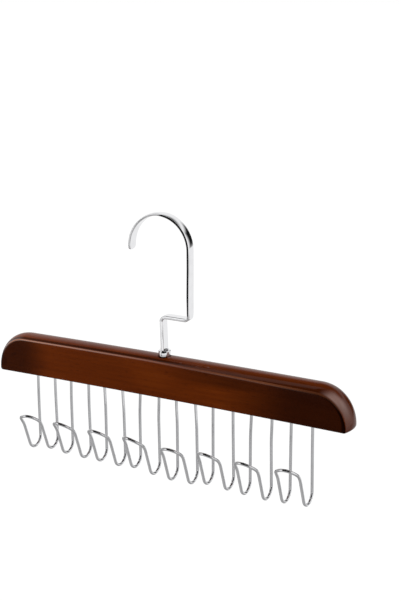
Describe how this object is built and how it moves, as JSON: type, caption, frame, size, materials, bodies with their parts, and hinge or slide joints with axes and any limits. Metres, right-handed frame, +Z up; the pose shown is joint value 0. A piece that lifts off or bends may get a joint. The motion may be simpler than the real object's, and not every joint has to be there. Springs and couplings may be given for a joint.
{
  "type": "belt hanger",
  "caption": "Wooden bar with a row of sprung-wire belt hooks along its underside, hung from a flat swivelling hook with a sideways step.",
  "frame": {"origin": "inside top of the hook's arc, where it rests on a rail", "axes": "+X along the bar, to the right as seen from the side that the wires face; +Y away from that side; +Z up"},
  "size_m": [0.37, 0.0482, 0.2445],
  "materials": {
    "lacquered_wood": "gloss lacquer",
    "chrome": "polished",
    "wire_chrome": "bright plated",
    "zinc_steel": "zinc plated",
    "brass": "machined"
  },
  "bodies": {
    "hook": {"flat_hook": "chrome", "pin_washer": "zinc_steel"},
    "bar": {"wood_bar": "lacquered_wood", "swivel_collar": "chrome", "barbed_insert": "brass", "belt_wire_1": "wire_chrome", "belt_wire_2": "wire_chrome", "belt_wire_3": "wire_chrome", "belt_wire_4": "wire_chrome", "belt_wire_5": "wire_chrome", "belt_wire_6": "wire_chrome", "belt_wire_7": "wire_chrome", "belt_wire_8": "wire_chrome"}
  },
  "joints": [
    {"name": "hook_swivel", "type": "hinge", "parent": "hook", "child": "bar", "pos_m": [0.003, 0, -0.1292], "axis": [0, 0, 1], "continuous": true}
  ]
}
